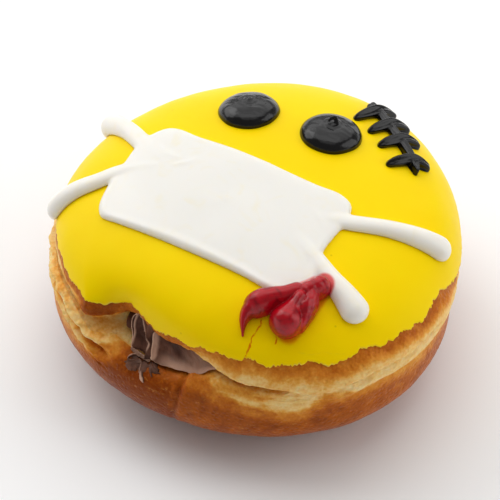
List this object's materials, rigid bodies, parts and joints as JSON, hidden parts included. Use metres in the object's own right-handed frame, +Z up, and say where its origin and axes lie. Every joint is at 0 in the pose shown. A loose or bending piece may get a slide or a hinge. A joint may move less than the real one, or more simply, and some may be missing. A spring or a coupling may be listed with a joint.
{
  "type": "halloween doughnut",
  "caption": "Round filled doughnut with yellow icing, piped masked face, stitches and red drip, and chocolate cream showing in its split side.",
  "frame": {"origin": "middle of the outline, on the surface that the doughnut rests on", "axes": "+Z up, +Y from the mask towards the eyes, +X towards the stitches"},
  "size_m": [0.0904, 0.0902, 0.044],
  "materials": {
    "dough": "fried yeast dough, brown crust with a pale band round the middle",
    "filling": "whipped chocolate cream, satin",
    "icing": "set yellow icing, satin",
    "mask": "set white icing, soft gloss",
    "black_icing": "set black icing, glossy",
    "red_icing": "dark red piping gel, glossy"
  },
  "bodies": {
    "root": {"dough": "dough", "filling": "filling", "icing": "icing", "mask": "mask", "eye_left": "black_icing", "eye_right": "black_icing", "stitches": "black_icing", "blood": "red_icing"}
  },
  "joints": []
}
